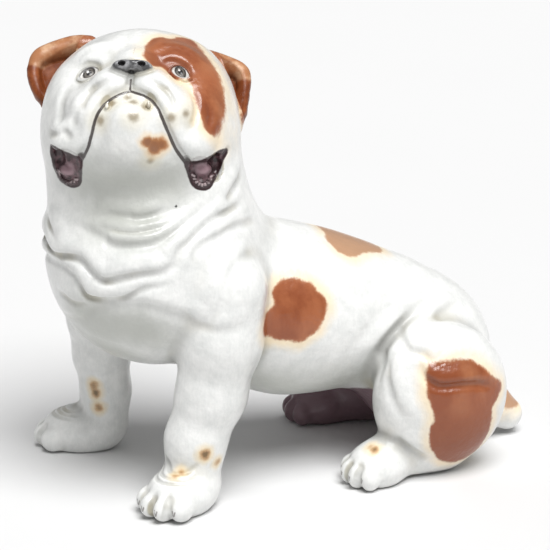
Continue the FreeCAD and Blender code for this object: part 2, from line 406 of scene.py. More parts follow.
def taper(count, peak, ends=0.15):
    """A value along a line that fades towards both ends."""
    t = np.linspace(0, 1, count)
    return peak * (ends + (1 - ends) * np.clip(3.5 * np.minimum(t, 1 - t), 0, 1) ** 0.7)


SLOPE_SPAN = 1.0


def shifted(clay, line, distance, toward):
    """The line moved over the skin, to the side that toward points to."""
    along = np.gradient(line, axis=0)
    normal = clay.slope(line, SLOPE_SPAN)
    side = np.cross(normal, along)
    side /= np.maximum(np.linalg.norm(side, axis=1, keepdims=True), 1e-9)
    side *= np.sign(side @ np.array(toward, float))[:, None] + 1e-9
    return settle(clay, line + side * distance, 4)


def fold(clay, base, line, width=1.8, depth=1.6, roll=1.5, spread=4.2, above=4.2,
         toward=(0, 0, 1)):
    """A crease along line, with a soft roll of skin beside it."""
    n = len(line)
    if roll:
        clay.press(shifted(base, line, above, toward), spread, -taper(n, roll))
    clay.press(line, width, taper(n, depth))


# ---- folds of skin ------------------------------------------------------------
def model_neck_folds(clay, base):
    def crease(points, **shape):
        fold(clay, base, smooth_line(neck_line(base, points)), **shape)

    def throat(points, **shape):
        fold(clay, base, smooth_line(body_line(base, points)), **shape)

    throat([(37, -87, 133), (39, -82, 131), (42, -73, 133.5), (42, -66, 136)],
           width=1.6, depth=0.9, roll=0.6, spread=3, above=3)
    throat([(29, -98, 127), (34, -92, 125), (39, -84, 124), (42, -75, 126), (43, -68, 129),
            (42, -62, 133)], width=1.7, depth=1.3, roll=0.9, spread=3, above=3)
    throat([(20, -104, 124), (32, -96, 122), (35, -93, 119), (39, -87, 118), (43, -78, 119),
            (44, -72, 121), (44, -66, 125), (43, -61, 128), (41, -53, 132), (37, -46, 135)],
           width=2.2, depth=2.2, roll=1.7, spread=3.6, above=3.6)
    crease([(-115, 121), (-88, 114), (-62, 110), (-35, 111), (-8, 112), (2, 111), (13, 109),
            (26, 110), (35, 110), (42, 106), (50, 103), (59, 105), (69, 107), (80, 108),
            (86, 111), (89, 116)], width=2.3, depth=2.5, roll=2.3, spread=4.4)
    crease([(86, 112), (89, 116), (96, 120), (105, 124), (115, 127), (138, 130)],
           width=2.3, depth=2.0, roll=1.9)
    crease([(-80, 100), (-50, 98), (-20, 103), (5, 105), (19, 105), (29, 103), (34, 99),
            (39, 95), (51, 95), (61, 97), (70, 101), (81, 102)],
           width=2.0, depth=1.9, roll=1.7)
    crease([(12, 92), (21, 91), (28, 90), (39, 92)], width=2.0, depth=1.2, roll=1.0)
    crease([(3, 79), (28, 82), (39, 88)], width=2.6, depth=1.0, roll=0.8)
    crease([(-7, 122), (7, 117), (18, 113)], width=2.2, depth=1.6, roll=1.4)
    crease([(96, 109), (97, 114), (102, 117), (111, 119), (122, 121), (132, 121), (147, 120)],
           width=2.2, depth=1.6, roll=1.2)
    crease([(134, 110), (118, 109), (110, 104), (107, 98), (105, 91), (101, 85)],
           width=2.6, depth=1.6, roll=1.0)
    crease([(15, 86), (32, 87), (49, 92), (61, 93), (72, 93), (82, 90), (92, 87), (97, 84),
            (106, 82), (115, 84)], width=2.8, depth=1.3, roll=1.2, spread=5)
    crease([(118, 82), (120, 74), (118, 66)], width=2.8, depth=0.4, roll=0.0)
    crease([(152, 142), (132, 136), (121, 132)], width=2.4, depth=1.8, roll=1.6)
    crease([(-80, 124), (-110, 128), (-140, 132)], width=2.4, depth=0.9, roll=0.8)


def model_leg_folds(clay, base):
    def crease(points, **shape):
        fold(clay, base, smooth_line(body_line(base, points)), **shape)

    for side in (1, -1):
        def m(*points):
            return [(x * side, y, z) for x, y, z in points]

        back = (0, 1, 0)
        crease(m((23, 55, 76), (28, 48, 74), (33, 40, 70), (36, 32, 64), (37, 28, 59),
                 (38, 26, 52), (39, 26, 43)),
               width=2.8, depth=1.7, roll=1.4, spread=5.5, above=5.5, toward=back)
        crease(m((34, 38, 69), (43, 37, 62), (48, 43, 60), (51, 46, 57)),
               width=2.2, depth=1.4, roll=1.0, toward=back)
        crease(m((40, 32, 61), (43, 28, 54), (47, 28, 44), (50, 30, 37), (52, 34, 31)),
               width=2.4, depth=1.2, roll=1.2, toward=back)
        crease(m((50, 41, 57), (53, 42, 51), (55, 48, 46.5), (55, 58, 46), (54, 68, 45),
                 (52, 74, 42)), width=1.8, depth=2.0, roll=1.3)
        crease(m((28, 31, 84), (32, 33, 78), (35, 26, 71), (36, 16, 62)),
               width=3.6, depth=1.0, roll=1.0, spread=6, above=6, toward=back)
        crease(m((33, 54, 70), (26, 62, 71), (19, 71, 71)), width=3, depth=1.1, roll=1.1)
        crease(m((46, 32, 22), (49, 38, 16), (50, 46, 10)),
               width=2.2, depth=1.4, roll=1.0, toward=back)


def model_toes(clay, base):
    """Short clefts between the toes, and wrinkles across the wrist above them."""
    for name in PAWS:
        at, left, up, forward, half_width, half_length = paw_frame(name)
        for across in (-0.48, 0.0, 0.48):
            reach = 1.0 - 0.36 * abs(across)
            line = [
                at + left * across * half_width * s + forward * reach * half_length * t + up * z
                for s, t, z in ((0.9, 0.98, 12), (1.0, 1.14, 9.5), (1.06, 1.26, 6),
                                (1.08, 1.30, 3), (1.1, 1.30, 0.4))
            ]
            line = smooth_line(settle(base, np.array(line), 14))
            clay.press(line, 1.25, taper(len(line), 1.5, 0.25))
        if name.startswith("fore"):
            for height, lean in ((16.5, 0.74), (19.5, 0.62), (22.5, 0.52)):
                line = [
                    at + left * half_width * a + forward * half_length * lean * b + up * height
                    for a, b in ((-0.85, 0.1), (-0.55, 0.7), (0.0, 1.0), (0.55, 0.7), (0.85, 0.1))
                ]
                line = smooth_line(settle(base, np.array(line), 24))
                clay.press(line, 0.9, taper(len(line), 0.7, 0.1))


def claw_lines(clay):
    """Short strokes down the front of each toe, either side of the claw."""
    lines = []
    for name in PAWS:
        at, left, up, forward, half_width, half_length = paw_frame(name)
        for across, along in TOES:
            tip = at + left * across * half_width * 1.05 + forward * (along * half_length + 7)
            for shift, top, foot in ((-0.9, 6.8, 3.6), (0.9, 6.4, 4.4)):
                line = [tip + left * shift + up * top, tip + left * shift * 0.3 + up * foot]
                lines.append(settle(clay, np.array(line), 14))
    return lines


# ---- face ---------------------------------------------------------------------
# eyes: left, up, forward and tilt; their lids as left and up from the middle of the eye
EYES = ((-18.8, 0.4, 21.5, 0.38), (19.4, 1.8, 21.5, -0.40))
UPPER_LID = ((-3.9, -0.9), (-2.2, 1.5), (0.0, 2.4), (2.2, 1.5), (3.9, -0.9))
LOWER_LID = ((-3.9, -0.9), (-2.2, -2.4), (0.0, -2.9), (2.2, -2.4), (3.9, -0.9))
# lips from the middle of the muzzle outwards, and jowls over the corners: left, up, forward
MOUTH_RIGHT = [(0, -11, 30), (-4, -13.3, 30.5), (-8.7, -16.4, 30), (-11.5, -20, 29),
               (-13.4, -23.7, 28), (-15, -28.6, 24), (-16.6, -32.3, 20), (-19.6, -34.3, 15)]
MOUTH_LEFT = [(0, -11, 30), (4.3, -13, 30.5), (8.8, -15, 30), (12, -18.6, 29.3),
              (14.4, -23, 28), (17.4, -28, 22.5), (19.8, -31.4, 18.4), (23.2, -33.3, 13)]
FANGS = [(-8.6, -15.9), (8.4, -15.0)]
PHILTRUM = [(0, -6, 33), (0, -8, 31), (0, -11, 30)]
JOWL_RIGHT = [(-34, -28, 14), (-26, -33.5, 16), (-19.6, -34.3, 15)]
JOWL_LEFT = [(23.2, -33.3, 13), (28, -34, 12), (33, -31, 10), (39, -22, 3)]

# the open corners of the mouth, drawn as left and up on a plane that faces the viewer
LOOK_AXES = facing(CAMERA_AZIMUTH, CAMERA_RISE)
POCKETS = {
    "right": {
        "outline": [(-36.5, -17), (-36.5, -23), (-34, -30), (-31, -33), (-27, -34.5), (-24, -33),
                    (-23, -28), (-22.5, -22.5), (-26, -21.5), (-32, -19)],
        "tongue": (-29.3, -27),
        "teeth": [(-34, -27), (-33.3, -29.8), (-31, -32), (-28, -32.8), (-25.3, -31.3)],
        "hollows": (((-27, -36, 10), (7, 6.5, 7.5)), ((-32, -30.5, 6), (4, 6, 7))),
    },
    "left": {
        "outline": [(20, -24.5), (21, -29), (23, -34), (27, -36), (30.5, -34.5), (33, -29.5),
                    (37, -20), (36, -18.5), (33, -20), (29.5, -22.5), (24.5, -24)],
        "tongue": (27, -27),
        "teeth": [(22.8, -29.5), (24.4, -32.6), (27, -34), (29.7, -32.8), (31.6, -29.5)],
        "hollows": (((29.5, -36.5, 7), (6, 6.4, 7.5)), ((34.5, -30.5, 2), (3.6, 6.5, 6))),
    },
}


def seen_line(clay, points):
    """Skin points from left and up on the plane that faces the viewer."""
    p = np.array(points, float)
    starts = HEAD_AT + np.column_stack([p, np.full(len(p), 60.0)]) @ LOOK_AXES
    return clay.land(starts, -LOOK_AXES[2])


def model_mouth_corner(clay, pocket):
    """A hollow under the lip, with the tongue lying in it and a row of small teeth."""
    for centre, radii in pocket["hollows"]:
        clay.ball(head_point(*centre), radii, 1.4, axes=HEAD_AXES, mode="cut")
    tongue = seen_line(clay, [pocket["tongue"]])[0]
    clay.ball(tongue - 0.6 * LOOK_AXES[2], (3.9, 2.6, 1.8), 1.4, axes=LOOK_AXES)
    middle = np.mean(pocket["teeth"], axis=0)
    gums = smooth_line(pocket["teeth"], 2)
    roots = seen_line(clay, gums)
    tips = seen_line(clay, gums + 0.24 * (middle - gums)) + 1.2 * LOOK_AXES[2]
    for root, tip in zip(roots, tips):
        clay.cone(root - 0.5 * LOOK_AXES[2], tip, 0.95, 0.45, 0.5)


def model_face(clay, base):
    def crease(points, **shape):
        fold(clay, base, smooth_line(face_line(base, points)), **shape)

    up = tuple(HEAD_AXES[1])
    out_right, out_left = tuple(-HEAD_AXES[0]), tuple(HEAD_AXES[0])
    # wrinkles beside the nose and down the cheeks: the side they roll to, width, depth, roll
    for toward, width, depth, roll, points in (
        (out_right, 1.6, 1.0, 0.6, [(-7, -6), (-10, -9), (-15, -11), (-18, -16), (-18, -22)]),
        (out_left, 1.6, 0.8, 0.5, [(7, -6), (10, -9), (15, -11), (18, -15), (19, -21)]),
        (out_right, 1.8, 0.6, 0.4, [(-26, -3), (-28, -9), (-29, -15), (-29, -22)]),
        (out_right, 1.7, 0.5, 0.4, [(-19, -12), (-20, -18), (-22, -23), (-23, -28)]),
        (out_left, 1.7, 0.9, 0.7, [(24, -6), (27, -12), (27, -18), (26, -23)]),
        (out_left, 1.7, 0.7, 0.5, [(31, -10), (33, -15), (32, -21)]),
    ):
        crease(points, width=width, depth=depth, roll=roll, spread=3, above=3, toward=toward)
    # brows
    for points in ([(-23, 5), (-20, 6), (-16, 5), (-14, 2)], [(12, 5), (15, 7), (20, 6), (24, 3)]):
        crease(points, width=1.4, depth=0.6, roll=0.6, spread=2.6, above=2.6, toward=up)
    for side in (1, -1):
        crease([(9 * side, 9), (14 * side, 13), (20 * side, 13), (26 * side, 9)],
               width=2.2, depth=0.3, roll=0.4, spread=3, above=3.2, toward=up)
        crease([(3 * side, 12), (5 * side, 18), (6 * side, 25)],
               width=2.4, depth=0.4, roll=0.4, spread=3.2, above=3.6,
               toward=out_left if side > 0 else out_right)
    # chin and jaw
    crease([(-15, -52, 1), (-9, -51, 4), (3, -53, 5), (13, -51, 5), (22, -46, 4)],
           width=2.0, depth=1.4, roll=1.2)
    crease([(-18, -39, 16), (-17, -44, 10), (-15, -48, 6)], width=1.8, depth=0.9, roll=0)
    crease([(-35, -21, 13), (-30, -27, 19), (-26, -27, 21), (-24, -30, 20)],
           width=1.8, depth=1.1, roll=0.8, spread=3, above=3)
    # mouth: the lips hang over the chin along these lines
    for line in (MOUTH_RIGHT, MOUTH_LEFT):
        landed = smooth_line(face_line(base, line))
        inward = -math.copysign(0.8, line[-1][0]) * HEAD_AXES[0] - HEAD_AXES[1]
        clay.press(shifted(base, landed, 3.4, inward), 4.2, taper(len(landed), 1.9))
        clay.press(shifted(base, landed, 3.4, -inward), 3.2, -taper(len(landed), 0.9))
        clay.press(landed, 1.2, np.linspace(1.0, 2.4, len(landed)))
    clay.press(smooth_line(face_line(base, PHILTRUM)), 1.1, 1.6)
    for line in (JOWL_RIGHT, JOWL_LEFT):
        landed = smooth_line(face_line(base, line))
        clay.press(shifted(base, landed, 3.6, up), 3.4, -taper(len(landed), 1.0))
        clay.press(landed, 1.5, 2.2)
    for pocket in POCKETS.values():
        model_mouth_corner(clay, pocket)
    # the two lower fangs
    for gum in face_line(base, FANGS):
        clay.cone(gum - 3.6 * HEAD_AXES[1] - 0.7 * HEAD_AXES[2],
                  gum - 0.9 * HEAD_AXES[1] + 0.2 * HEAD_AXES[2], 1.0, 0.35, 0.9)
    # nose
    for side in (-1, 1):
        clay.ball(head_point(4.4 * side + 0.3, -1.4, 31), (4.2, 2.5, 4.6), 1.4, axes=HEAD_AXES)
        clay.ball(head_point(4.2 * side + 0.5, -1.6, 36), (1.5, 0.9, 2.6), 0.8, axes=HEAD_AXES,
                  mode="cut")
    clay.press(face_line(base, [(0.3, 1), (0.3, -5)]), 1.0, 1.0)
    # eyes
    for left, up_at, forward, tilt in EYES:
        clay.ball(head_point(left, up_at, forward + 2.6), (4.6, 3.4, 3.6), 1.8,
                  axes=HEAD_AXES, mode="cut")
        clay.ball(head_point(left, up_at, forward - 1.6), (4.0, 3.8, 4.4), 0.4, axes=HEAD_AXES)
        for rim, thick in ((UPPER_LID, 0.95), (LOWER_LID, 0.75)):
            points = [
                head_point(left + a, up_at + b + tilt * a, forward + 2.6 - 0.05 * (a * a + b * b))
                for a, b in rim
            ]
            clay.chain(smooth_line(points, 2), [thick] * 9, 0.8)


VENT_RADIUS = 5.5


def model_figure():
    """The plain masses that lines are landed on, and the finished clay."""
    base = model_masses()
    clay = model_masses()
    model_neck_folds(clay, base)
    model_leg_folds(clay, base)
    model_toes(clay, base)
    model_face(clay, base)
    # the vent in the seat
    clay.cone((0, 62, -4), (0, 62, 8), VENT_RADIUS, VENT_RADIUS, 0.4, mode="cut")
    return base, clay


# ---- meshing ------------------------------------------------------------------
def skin_of(field, axes):
    """Surface nets: the vertices and quads of the field's zero surface."""
    inside = field < 0
    low = np.array([axes[0][0], axes[1][0], axes[2][0]])
    step = axes[0][1] - axes[0][0]
    nx, ny, nz = field.shape
    corners = [(i, j, k) for k in (0, 1) for j in (0, 1) for i in (0, 1)]
    count = sum(inside[i:nx - 1 + i, j:ny - 1 + j, k:nz - 1 + k].astype(np.uint8)
                for i, j, k in corners)
    active = (count > 0) & (count < 8)
    cells = np.argwhere(active)
    index = np.full(active.shape, -1, np.int64)
    index[active] = np.arange(len(cells))
    value = [field[cells[:, 0] + i, cells[:, 1] + j, cells[:, 2] + k] for i, j, k in corners]
    place = np.zeros((len(cells), 3))
    found = np.zeros(len(cells))
    for a in range(8):
        for b in range(a + 1, 8):
            step_ab = np.array(corners[b]) - np.array(corners[a])
            if np.abs(step_ab).sum() != 1:
                continue
            m = (value[a] < 0) != (value[b] < 0)
            s = np.where(m, value[a] / np.where(m, value[a] - value[b], 1.0), 0.0)
            place[m] += np.array(corners[a]) + s[m, None] * step_ab
            found[m] += 1
    vertices = (cells + place / found[:, None]) * step + low
    quads = []
    for axis in range(3):
        before, after = [slice(None)] * 3, [slice(None)] * 3
        before[axis], after[axis] = slice(0, -1), slice(1, None)
        first, second = inside[tuple(before)], inside[tuple(after)]
        edge = np.argwhere(first != second)
        u, w = np.zeros(3, int), np.zeros(3, int)
        u[(axis + 1) % 3] = 1
        w[(axis + 2) % 3] = 1
        kept = (edge @ u > 0) & (edge @ w > 0)
        edge = edge[kept]
        outward = first[tuple(edge.T)]
        ring = np.stack(
            [index[tuple((edge - o).T)] for o in (u + w, w, 0 * u, u)], 1
        )
        ring[~outward] = ring[~outward][:, ::-1]
        quads.append(ring)
    return vertices, np.concatenate(quads)


def to_triangles(quads):
    return np.concatenate([quads[:, [0, 1, 2]], quads[:, [0, 2, 3]]])


def settle(clay, points, rounds=3):
    """Newton steps, each cut to a safe length, that bring points onto the skin."""
    for _ in range(rounds):
        g = clay.slope(points)
        size2 = np.maximum((g * g).sum(1), 0.05)
        points = points - g * np.clip(clay.at(points) / size2, -0.6, 0.6)[:, None]
    return points


def unique_edges(triangles):
    """Sorted vertex pairs, and for each triangle the index of its three edges."""
    pairs = np.sort(np.concatenate([triangles[:, [0, 1]], triangles[:, [1, 2]],
                                    triangles[:, [2, 0]]]), axis=1)
    key = pairs[:, 0].astype(np.int64) * (triangles.max() + 1) + pairs[:, 1]
    _, first, back = np.unique(key, return_index=True, return_inverse=True)
    return pairs[first], back.reshape(3, -1).T


# what replaces a triangle, by how many of its edges are split: 0, 1 and 2 are its corners, and
# 3, 4 and 5 the middles of its edges 0-1, 1-2 and 2-0
SPLITS = {
    1: ((0, 3, 2), (3, 1, 2)),
    2: ((3, 1, 4), (0, 3, 4), (0, 4, 2)),
    3: ((0, 3, 5), (3, 1, 4), (5, 4, 2), (3, 4, 5)),
}
# for each set of split edges, as bits, the corner to turn to the front
TURNS = {1: 0, 2: 1, 4: 2, 3: 0, 6: 1, 5: 2, 7: 0}


def refine(vertices, triangles, wanted):
    """Split each edge that wanted marks; neighbours stay joined."""
    edges, of_triangle = unique_edges(triangles)
    split = wanted(vertices[edges].mean(1))
    new_index = np.full(len(edges), -1, np.int64)
    new_index[split] = len(vertices) + np.arange(split.sum())
    vertices = np.concatenate([vertices, vertices[edges[split]].mean(1)])
    middles = new_index[of_triangle]
    bits = (middles >= 0) @ np.array([1, 2, 4])
    made = [triangles[bits == 0]]
    for code in range(1, 8):
        chosen = bits == code
        order = [(TURNS[code] + i) % 3 for i in range(3)]
        six = np.concatenate([triangles[chosen][:, order], middles[chosen][:, order]], 1)
        made += [six[:, corners] for corners in SPLITS[bin(code).count("1")]]
    return vertices, np.concatenate(made)


def part_along(vertices, triangles, hub, value):
    """Cut a closed mesh where value is zero; returns the vertices and both halves, capped.

    hub is a point inside the clay that both caps run to.
    """
    value = np.where(np.abs(value) < 1e-4, 1e-4, value)
    negative = value < 0
    sides = negative[triangles].sum(1)
    mixed = (sides > 0) & (sides < 3)
    t = triangles[mixed]
    pairs, of_triangle = unique_edges(t)
    crossing = negative[pairs[:, 0]] != negative[pairs[:, 1]]
    ends = pairs[crossing]
    s = value[ends[:, 0]] / (value[ends[:, 0]] - value[ends[:, 1]])
    cut_points = vertices[ends[:, 0]] + s[:, None] * (vertices[ends[:, 1]] - vertices[ends[:, 0]])
    cut_index = np.full(len(pairs), -1, np.int64)
    cut_index[crossing] = len(vertices) + np.arange(crossing.sum())
    centre = len(vertices) + len(cut_points)
    vertices = np.concatenate([vertices, cut_points, [hub]])
    halves = {True: [triangles[sides == 3]], False: [triangles[sides == 0]]}
    mid = cut_index[of_triangle]
    neg = negative[t]
    for lone in range(3):
        order = [lone, (lone + 1) % 3, (lone + 2) % 3]
        for lone_negative in (True, False):
            m = (neg[:, lone] == lone_negative) & (neg[:, order[1]] != lone_negative) & (
                neg[:, order[2]] != lone_negative)
            a, b, c = t[m][:, order].T
            ab, ca = mid[m][:, order[0]], mid[m][:, order[2]]
            halves[lone_negative].append(np.stack([a, ab, ca], 1))
            halves[not lone_negative] += [np.stack([ab, b, c], 1), np.stack([ab, c, ca], 1)]
            rim = np.full(len(a), centre)
            halves[lone_negative].append(np.stack([ca, ab, rim], 1))
            halves[not lone_negative].append(np.stack([ab, ca, rim], 1))
    return vertices, np.concatenate(halves[True]), np.concatenate(halves[False])


# ---- parting ------------------------------------------------------------------
def capsule_region(points, radii):
    region = Clay(floored=False)
    region.chain(points, radii, 1.0)
    return region


def leg_region(name):
    """Where a leg's casting ends and the body's begins: the field is negative inside."""
    if name == "foreleg_left":
        return capsule_region([(30, -46, 86), (36.5, -54, 45), (42, -66, 4)], [18, 17, 32])
    if name == "foreleg_right":
        return capsule_region([(-30, -66, 84), (-38, -76, 45), (-42, -88, 4)], [18, 17, 32])
    side = 1 if name == "hind_leg_left" else -1
    region = capsule_region([(34 * side, 54, 8), (40.5 * side, 14, 6)], [16, 16])
    region.ball((40 * side, 54, 34), (18, 35, 35), 1.0)
    return region


# planes across the roots of the ears and the tail: the normal's parts, and its offset
EAR_JOINTS = {"ear_right": (-0.93, 0.37, 41.5), "ear_left": (0.923, 0.385, 40.8)}
TAIL_JOINT = ((0, 0.94, -0.34), 77)


def ear_offset(points, name):
    local = (points - HEAD_AT) @ HEAD_AXES.T
    left, up, offset = EAR_JOINTS[name]
    return left * local[:, 0] + up * local[:, 1] - offset


NECK_JOINT = (0, -68, 134)
NECK_LEAN = math.radians(4)


def neck_offset(points):
    upward = np.array([0, -math.sin(NECK_LEAN), math.cos(NECK_LEAN)])
    return (points - np.array(NECK_JOINT)) @ upward


def tail_offset(points):
    normal, offset = TAIL_JOINT
    return points @ np.array(normal) - offset


def part_castings(vertices, triangles):
    """The nine castings as lists of triangles over one shared list of vertices."""
    parts = {}

    def take(name, triangles, offset, hub):
        nonlocal vertices
        vertices, rest, parts[name] = part_along(vertices, triangles, hub, offset(vertices))
        return rest

    body = take("head_casting", triangles, neck_offset, NECK_JOINT)
    head = parts["head_casting"]
    for name, hub in (("ear_right", (-36, 24, -14)), ("ear_left", (34, 20, -16))):
        head = take(name, head, lambda p, n=name: ear_offset(p, n), head_point(*hub))
    parts["head_casting"] = head
    body = take("tail", body, tail_offset, (0, 88, 20))
    for name, hub in (("foreleg_left", (30, -46, 80)), ("foreleg_right", (-28, -64, 80)),
                      ("hind_leg_left", (26, 52, 30)), ("hind_leg_right", (-26, 52, 30))):
        region = leg_region(name)
        body = take(name, body, lambda p, r=region: -r.at(p), hub)
    parts["body_casting"] = body
    return vertices, parts


# ==== PAINT ====================================================================
FACE_PATCH = [(4, 6), (4, 15), (7, 21), (13, 22), (16, 26), (21, 28), (26, 21), (31, 13), (35, 5),
              (37, -1), (38, -8), (37, -15), (36, -19), (34, -23), (31, -22), (29, -19),
              (28, -15), (27, -11), (25, -6), (23, -2), (19, -2), (16, -1), (12, 3), (8, 2)]
FLANK_PATCH = [(-20, 93), (-13, 95), (-7, 94), (-1, 90), (3, 84), (2, 78), (-3, 72), (-10, 68),
               (-16, 69), (-22, 70), (-29, 76), (-26, 82), (-21, 86), (-22, 90)]
THIGH_PATCH = [(44, 55), (47, 57), (55, 57), (65, 56), (72, 50), (79, 44), (80, 39), (75, 33),
               (75, 26), (72, 13), (64, 7), (55, 8), (47, 16), (45, 25), (46, 33), (43, 44)]
SPINE_PATCH = [(5, 12), (14, 11), (19, 15), (19, 21), (14, 28), (6, 40), (-5, 37), (-13, 24),
               (-8, 12)]
# the orange spot, the freckles and the black speck: places on the head (left, up, forward)
# and radii
HEAD_SPOTS = (((11.7, -33.1, 22.6), 3.4), ((13.9, -31.4, 22.7), 2.6), ((9.0, -32.8, 24.4), 2.3))
HEAD_FRECKLES = (((-7, -17.6, 29), 2.0), ((-11.3, -24.5, 27.3), 2.0), ((2.3, -17.6, 29.7), 1.7),
                 ((7.5, -18.8, 29), 1.7), ((3.2, -25.6, 29.5), 2.2), ((18, -23, 26.8), 1.8),
                 ((23.7, -19.5, 25.6), 1.5), ((-0.7, -14.5, 29.3), 1.2), ((9.8, -37.4, 21), 1.3))
SPECKS = (((19, -46.8, 4.0), 0.6),)
# painted shade: grey laid on the glaze under the jaw, under the chest and along the underside of
# the belly
SHADE = [np.array(line, float) for line in (
    [(22, -98, 143), (30, -84, 142), (38, -70, 143)],
    [(28, -97, 132), (40, -80, 130)],
    [(26, -98, 82), (37, -80, 80)],
    [(4, -104, 66), (24, -88, 64)],
    [(28, -28, 44), (28, -5, 38), (26, 12, 38)],
)]
# rusty spots on the legs: places on the figure and radii
LEG_SPOTS = (((-27, -86, 33), 2.0), ((-26.5, -85, 30), 1.9), ((-26, -84, 23), 1.7),
             ((50, -56, 26), 2.1), ((47, -50, 21), 0.9), ((49, -69, 18), 0.8),
             ((48, -66, 18.5), 0.6), ((46, 22, 18), 1.9), ((43, 21, 19), 1.5))
# widths of the drawn lines at the middle of the muzzle and at the jowls
LIP_WIDTHS = (0.4, 0.62)
PHILTRUM_WIDTHS = (0.3, 0.3)
JOWL_WIDTHS = (1.3, 1.5)
# ellipsoids of paint: centre and radii, the nose's in the head's own frame.  The umber pair darkens
# the far hind leg, taken as umber paint, and the underside between the hind legs as painted shade
UMBER_AND_SHADE = (((-27, 23, 13), (30, 31, 25)), ((7, 38, 20), (20, 20, 25)))
NOSE = ((0.3, -1.5, 33.5), (8.4, 2.9, 5.0))
# the tail's patch: centre, stretch and radius, and the y from where the paint is thin
TAIL_PATCH = ((5, 100, 19), (1, 1.4, 1), 7.5)
TAIL_FROM = 86
# a distance that no soft edge of the patches and pockets reaches
UNPAINTED = 16.0


def closed_curve(points, parts=4):
    p = np.array(points, float)
    n = len(p)
    return np.concatenate([
        smooth_line([p[(i - 1) % n], p[i], p[(i + 1) % n], p[(i + 2) % n]], parts)[parts:2 * parts]
        for i in range(n)
    ])


def outline_distance(points, outline, reach=UNPAINTED):
    """Signed distance in a plane to a smooth closed outline, negative inside."""
    curve = closed_curve(outline)
    result = np.full(len(points), reach)
    near = ((points > curve.min(0) - reach) & (points < curve.max(0) + reach)).all(1)
    p = points[near]
    best = np.full(len(p), reach * reach)
    inside = np.zeros(len(p), bool)
    for a, b in zip(curve, np.roll(curve, -1, 0)):
        ab = b - a
        s = np.clip(((p - a) @ ab) / (ab @ ab), 0, 1)
        best = np.minimum(best, ((p - a - s[:, None] * ab) ** 2).sum(1))
        rise = (a[1] > p[:, 1]) != (b[1] > p[:, 1])
        if a[1] != b[1]:
            inside ^= rise & (p[:, 0] < a[0] + ab[0] * (p[:, 1] - a[1]) / ab[1])
    result[near] = np.where(inside, -1, 1) * np.sqrt(best)
    return result


def line_distance(points, lines, reach=8.0):
    """Distance to the nearest of several polylines in space."""
    best = np.full(len(points), reach * reach)
    for line in lines:
        near = ((points > line.min(0) - reach) & (points < line.max(0) + reach)).all(1)
        p = points[near]
        here = best[near]
        for a, b in zip(line[:-1], line[1:]):
            ab = b - a
            s = np.clip(((p - a) @ ab) / max(ab @ ab, 1e-9), 0, 1)
            here = np.minimum(here, ((p - a - s[:, None] * ab) ** 2).sum(1))
        best[near] = here
    return np.sqrt(best)


def spot_distance(points, spots):
    """Distance beyond the rim of the nearest spot."""
    best = np.full(len(points), 20.0)
    for centre, radius in spots:
        best = np.minimum(best, np.linalg.norm(points - centre, axis=1) - radius)
    return best


def paint_patches(points, local, on_head):
    """Distance beyond the rim of the russet patches, how thin their paint is, and height."""
    patch = np.full(len(points), UNPAINTED)

    def add_patch(where, plane, outline):
        patch[where] = np.minimum(patch[where], outline_distance(plane[where], outline))

    on_left_side = ~on_head & (points[:, 0] > 12)
    add_patch(on_head & (local[:, 2] > -20), local[:, :2], FACE_PATCH)
    add_patch(on_left_side & (points[:, 2] > 50), points[:, 1:], FLANK_PATCH)
    add_patch(on_left_side, points[:, 1:], THIGH_PATCH)
    without_spine = patch.copy()
    add_patch(~on_head & (points[:, 2] > 80), points[:, :2], SPINE_PATCH)
    on_tail = points[:, 1] > TAIL_FROM
    thin = np.where((patch < without_spine) | on_tail, 1.0, 0.0)
    ears = Clay(floored=False)
    for ear in EARS.values():
        model_ear(ears, ear)
    centre, stretch, radius = TAIL_PATCH
    tail = np.linalg.norm((points - np.array(centre)) / np.array(stretch), axis=1) - radius
    patch = np.minimum(np.minimum(patch, ears.at(points) - 0.6), tail)
    return {"patch": patch, "thin": thin, "height": np.where(on_tail, 60.0, points[:, 2])}


def paint_lips(clay, base, points):
    """Distance beyond the drawn line of the lips, which widens towards the jowls."""
    drawn = [(settle(clay, smooth_line(face_line(clay, line), 5)), widths)
             for line, widths in ((MOUTH_RIGHT, LIP_WIDTHS), (MOUTH_LEFT, LIP_WIDTHS),
                                  (PHILTRUM, PHILTRUM_WIDTHS))]
    drawn += [(smooth_line(face_line(base, line)), JOWL_WIDTHS)
              for line in (JOWL_RIGHT, JOWL_LEFT)]
    best = np.full(len(points), 8.0)
    for line, (start, end) in drawn:
        last = len(line) - 1
        widths = np.interp(np.arange(last), [0, 0.45 * len(line), last],
                           [start, 0.6 * end + 0.4 * start, end])
        for i, width in enumerate(widths):
            best = np.minimum(best, line_distance(points, [line[i:i + 2]], 3.0) - width)
    return best


def paint_pockets(points, on_head):
    """Distances to the open corners of the mouth, their teeth and their tongues."""
    seen = (points - HEAD_AT) @ LOOK_AXES.T
    on_jaw = on_head & (seen[:, 2] > 8) & (seen[:, 1] < -14)
    flat = seen[on_jaw][:, :2]
    marks = {mark: np.full(len(points), UNPAINTED) for mark in ("pocket", "tooth", "tongue")}
    for pocket in POCKETS.values():
        middle = np.mean(pocket["teeth"], axis=0)
        gums = smooth_line(pocket["teeth"], 2)
        strokes = [np.array([gum, gum + 0.26 * (middle - gum)]) for gum in gums]
        for mark, distance in (
            ("pocket", outline_distance(flat, pocket["outline"])),
            ("tooth", line_distance(flat, strokes)),
            ("tongue", np.linalg.norm((flat - pocket["tongue"]) / [1.15, 1], axis=1) - 3.0),
        ):
            marks[mark][on_jaw] = np.minimum(marks[mark][on_jaw], distance)
    return marks


def paint_eye_places(local):
    """Where each vertex lies from the middle of the nearer eye."""
    left, up, forward, tilt = np.array(EYES)[np.where(local[:, 0] < 0, 0, 1)].T
    across = local[:, 0] - left
    return {"eye_across": across, "eye_up": local[:, 1] - up - tilt * across,
            "eye_depth": local[:, 2] - forward}


def ear_lines(part, forward):
    return [smooth_line([head_point(*p, forward) for p in ear[part]], 2) for ear in EARS.values()]


